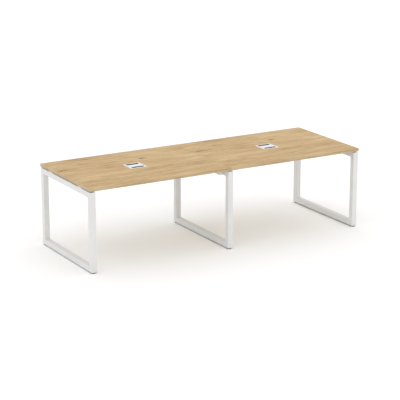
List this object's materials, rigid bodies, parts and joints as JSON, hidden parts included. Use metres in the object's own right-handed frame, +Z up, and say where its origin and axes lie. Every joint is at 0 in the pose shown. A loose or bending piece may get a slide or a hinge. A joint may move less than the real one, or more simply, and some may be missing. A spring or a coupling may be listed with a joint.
{
  "type": "conference table",
  "caption": "Long rectangular meeting table: split oak worktop on closed white square-tube frames, with lidded cable ports and levelling feet.",
  "frame": {"origin": "on the floor under the middle of the table", "axes": "+X along the table to the right, +Y to the rear, +Z up"},
  "size_m": [2.77, 0.99, 0.752],
  "materials": {
    "oak": "matt golden oak laminate, grain along the table",
    "oak_edging": "matt oak-print edge band",
    "white_steel": "fine-textured white powder coat",
    "white_port": "satin white",
    "black_plastic": "matt black",
    "black_bristle": "black nylon bristle",
    "zinc_steel": "zinc plated"
  },
  "bodies": {
    "table": {"worktop_left": "oak", "worktop_right": "oak", "edging_left": "oak_edging", "edging_right": "oak_edging", "frame_left_front_leg": "white_steel", "frame_left_rear_leg": "white_steel", "frame_left_top_rail": "white_steel", "frame_left_bottom_rail": "white_steel", "frame_middle_front_leg": "white_steel", "frame_middle_rear_leg": "white_steel", "frame_middle_top_rail": "white_steel", "frame_middle_bottom_rail": "white_steel", "frame_right_front_leg": "white_steel", "frame_right_rear_leg": "white_steel", "frame_right_top_rail": "white_steel", "frame_right_bottom_rail": "white_steel", "beam_left_front": "white_steel", "beam_left_rear": "white_steel", "beam_right_front": "white_steel", "beam_right_rear": "white_steel", "bracket_left_front": "white_steel", "bracket_left_rear": "white_steel", "bracket_middle_front": "white_steel", "bracket_middle_rear": "white_steel", "bracket_right_front": "white_steel", "bracket_right_rear": "white_steel", "bracket_screws": "zinc_steel", "bracket_nuts": "zinc_steel", "foot_nuts": "zinc_steel", "worktop_screws": "zinc_steel", "worktop_inserts": "zinc_steel", "worktop_spacers": "black_plastic", "port_left_bezel": "white_port", "port_left_hinge_pins": "zinc_steel", "port_left_screws": "zinc_steel", "port_left_brush_rails": "black_plastic", "port_left_bristles": "black_bristle", "port_right_bezel": "white_port", "port_right_hinge_pins": "zinc_steel", "port_right_screws": "zinc_steel", "port_right_brush_rails": "black_plastic", "port_right_bristles": "black_bristle"},
    "port_left_lid": {"port_left_lid": "white_port"},
    "port_right_lid": {"port_right_lid": "white_port"},
    "foot_left_front_pad": {"foot_left_front_pad": "black_plastic"},
    "foot_left_front_stud": {"foot_left_front_stud": "zinc_steel"},
    "foot_left_rear_pad": {"foot_left_rear_pad": "black_plastic"},
    "foot_left_rear_stud": {"foot_left_rear_stud": "zinc_steel"},
    "foot_middle_front_pad": {"foot_middle_front_pad": "black_plastic"},
    "foot_middle_front_stud": {"foot_middle_front_stud": "zinc_steel"},
    "foot_middle_rear_pad": {"foot_middle_rear_pad": "black_plastic"},
    "foot_middle_rear_stud": {"foot_middle_rear_stud": "zinc_steel"},
    "foot_right_front_pad": {"foot_right_front_pad": "black_plastic"},
    "foot_right_front_stud": {"foot_right_front_stud": "zinc_steel"},
    "foot_right_rear_pad": {"foot_right_rear_pad": "black_plastic"},
    "foot_right_rear_stud": {"foot_right_rear_stud": "zinc_steel"}
  },
  "joints": [
    {"name": "port_left_lid_hinge", "type": "hinge", "parent": "table", "child": "port_left_lid", "pos_m": [-0.69275, 0.027, 0.745], "axis": [-1, 0, 0], "range_deg": [0, 95]},
    {"name": "port_right_lid_hinge", "type": "hinge", "parent": "table", "child": "port_right_lid", "pos_m": [0.69275, 0.027, 0.745], "axis": [-1, 0, 0], "range_deg": [0, 95]},
    {"name": "foot_left_front_level", "type": "slide", "parent": "table", "child": "foot_left_front_pad", "axis": [0, 0, -1], "range_m": [0, 0.012]},
    {"name": "foot_left_front_turn", "type": "hinge", "parent": "foot_left_front_pad", "child": "foot_left_front_stud", "pos_m": [-1.355, -0.465, 0.02], "axis": [0, 0, -1], "range_deg": [0, 3457]},
    {"name": "foot_left_rear_level", "type": "slide", "parent": "table", "child": "foot_left_rear_pad", "axis": [0, 0, -1], "range_m": [0, 0.012]},
    {"name": "foot_left_rear_turn", "type": "hinge", "parent": "foot_left_rear_pad", "child": "foot_left_rear_stud", "pos_m": [-1.355, 0.465, 0.02], "axis": [0, 0, -1], "range_deg": [0, 3457]},
    {"name": "foot_middle_front_level", "type": "slide", "parent": "table", "child": "foot_middle_front_pad", "axis": [0, 0, -1], "range_m": [0, 0.012]},
    {"name": "foot_middle_front_turn", "type": "hinge", "parent": "foot_middle_front_pad", "child": "foot_middle_front_stud", "pos_m": [0, -0.465, 0.02], "axis": [0, 0, -1], "range_deg": [0, 3457]},
    {"name": "foot_middle_rear_level", "type": "slide", "parent": "table", "child": "foot_middle_rear_pad", "axis": [0, 0, -1], "range_m": [0, 0.012]},
    {"name": "foot_middle_rear_turn", "type": "hinge", "parent": "foot_middle_rear_pad", "child": "foot_middle_rear_stud", "pos_m": [0, 0.465, 0.02], "axis": [0, 0, -1], "range_deg": [0, 3457]},
    {"name": "foot_right_front_level", "type": "slide", "parent": "table", "child": "foot_right_front_pad", "axis": [0, 0, -1], "range_m": [0, 0.012]},
    {"name": "foot_right_front_turn", "type": "hinge", "parent": "foot_right_front_pad", "child": "foot_right_front_stud", "pos_m": [1.355, -0.465, 0.02], "axis": [0, 0, -1], "range_deg": [0, 3457]},
    {"name": "foot_right_rear_level", "type": "slide", "parent": "table", "child": "foot_right_rear_pad", "axis": [0, 0, -1], "range_m": [0, 0.012]},
    {"name": "foot_right_rear_turn", "type": "hinge", "parent": "foot_right_rear_pad", "child": "foot_right_rear_stud", "pos_m": [1.355, 0.465, 0.02], "axis": [0, 0, -1], "range_deg": [0, 3457]}
  ],
  "couplings": [
    {"joint": "foot_left_front_turn", "follows": "foot_left_front_level", "rad_per_m": 5026.5},
    {"joint": "foot_left_rear_turn", "follows": "foot_left_rear_level", "rad_per_m": 5026.5},
    {"joint": "foot_middle_front_turn", "follows": "foot_middle_front_level", "rad_per_m": 5026.5},
    {"joint": "foot_middle_rear_turn", "follows": "foot_middle_rear_level", "rad_per_m": 5026.5},
    {"joint": "foot_right_front_turn", "follows": "foot_right_front_level", "rad_per_m": 5026.5},
    {"joint": "foot_right_rear_turn", "follows": "foot_right_rear_level", "rad_per_m": 5026.5}
  ]
}
